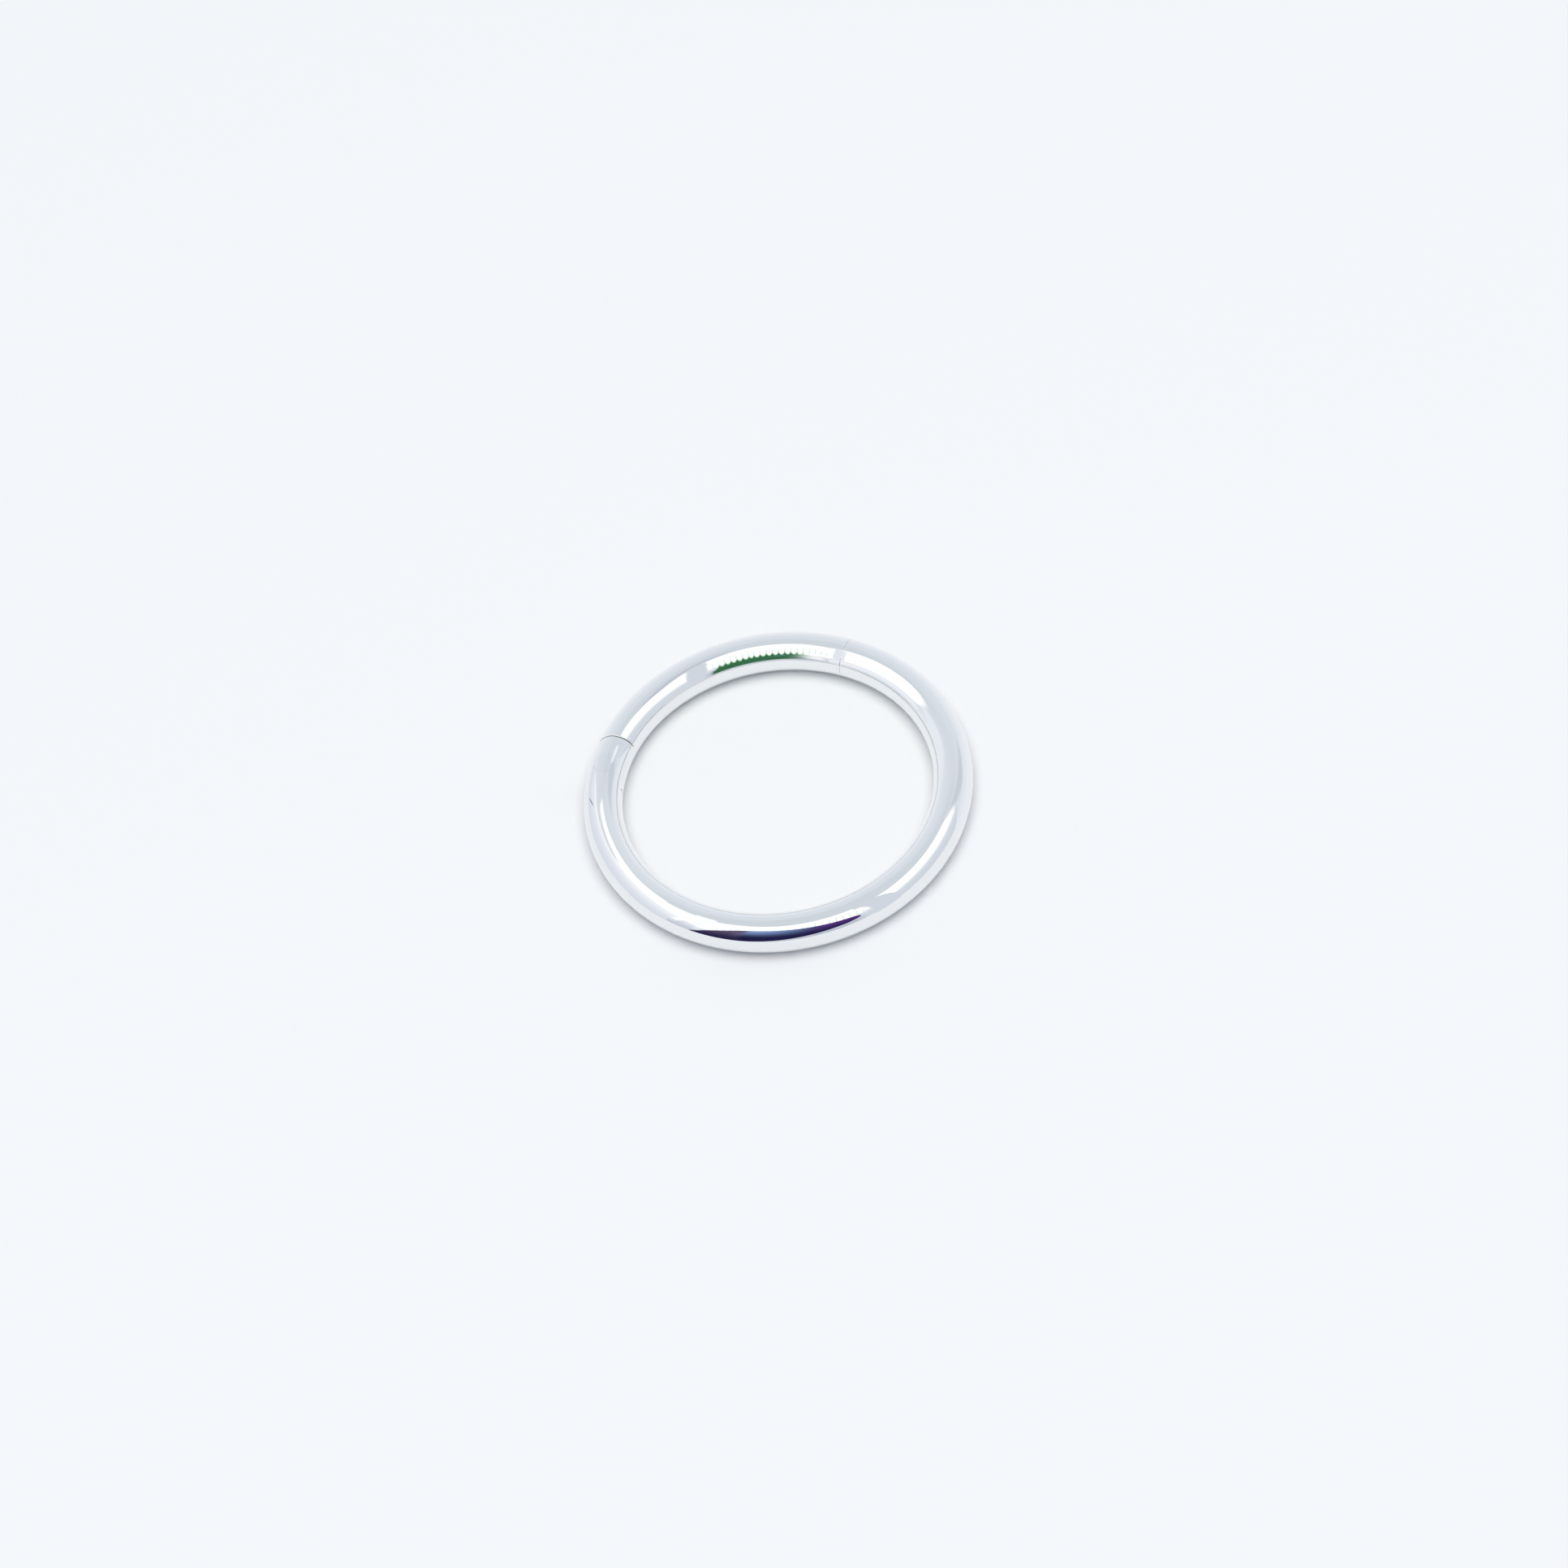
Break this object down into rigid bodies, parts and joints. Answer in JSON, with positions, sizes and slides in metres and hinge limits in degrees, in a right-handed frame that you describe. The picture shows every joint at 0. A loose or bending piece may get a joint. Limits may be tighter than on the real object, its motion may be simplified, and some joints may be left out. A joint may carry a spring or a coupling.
{
  "type": "hinged segment ring",
  "caption": "Round-wire body-jewellery hoop with a flush hinged gate that swings outwards on a pin and closes with a small flat tab.",
  "frame": {"origin": "on the floor, under the centre of the hoop as it lies flat", "axes": "+Z is the hoop's axis, up from the floor it lies on; the gate is on the +Y side, its hinge towards -X and its clasp towards +X"},
  "size_m": [0.01, 0.01, 0.001],
  "materials": {
    "ring_steel": "mirror-polished stainless steel, not plated",
    "gate_steel": "mirror-polished stainless steel, not plated",
    "pin_steel": "stainless steel pin, ground flush and polished with the wire"
  },
  "bodies": {
    "ring": {"ring_body": "ring_steel", "hinge_pin": "pin_steel"},
    "gate": {"gate_segment": "gate_steel"}
  },
  "joints": [
    {"name": "gate_hinge", "type": "hinge", "parent": "ring", "child": "gate", "pos_m": [-0.00422, 0.00156, 0.0005], "axis": [0, 0, 1], "range_deg": [0, 110]}
  ]
}
